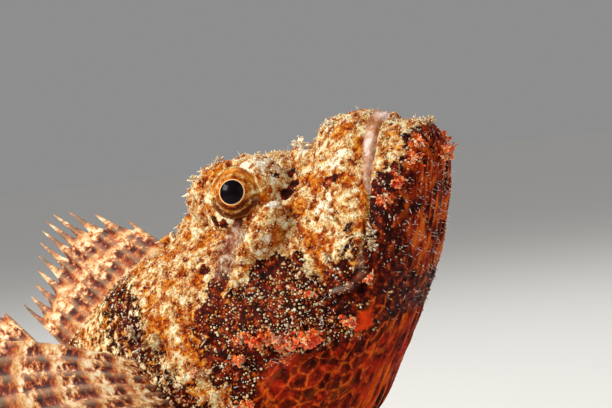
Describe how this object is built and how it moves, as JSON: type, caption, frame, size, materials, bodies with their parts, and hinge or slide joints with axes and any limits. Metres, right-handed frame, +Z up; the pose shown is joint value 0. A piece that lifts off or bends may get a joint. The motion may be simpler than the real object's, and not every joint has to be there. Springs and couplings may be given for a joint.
{
  "type": "tasselled scorpionfish model",
  "caption": "Life-size still model of a tasselled scorpionfish, resting on its fins with its head and shoulders raised.",
  "frame": {"origin": "on the floor, under the centre of the fish's box", "axes": "+X the way the head looks, +Y the fish's left side, +Z up"},
  "size_m": [0.3112, 0.2108, 0.1528],
  "materials": {
    "skin": "moist fish skin, cream and ochre mottling over maroon, finely dotted with white",
    "jaw_skin": "moist fish skin, deep red with an orange net and orange skin tassels",
    "fin": "thin mottled membrane over banded fin rays",
    "eye": "clear wet cornea over an ochre iris and a dark pupil"
  },
  "bodies": {
    "root": {"head": "skin", "lower_jaw": "jaw_skin", "gill_cover_left": "skin", "gill_cover_right": "skin", "torso": "skin", "tail": "skin", "eye_left": "eye", "eye_right": "eye", "dorsal_fin_spiny": "fin", "dorsal_fin_soft": "fin", "anal_fin": "fin", "caudal_fin": "fin", "pectoral_fin_left": "fin", "pectoral_fin_right": "fin", "pelvic_fin_left": "fin", "pelvic_fin_right": "fin"}
  },
  "joints": []
}
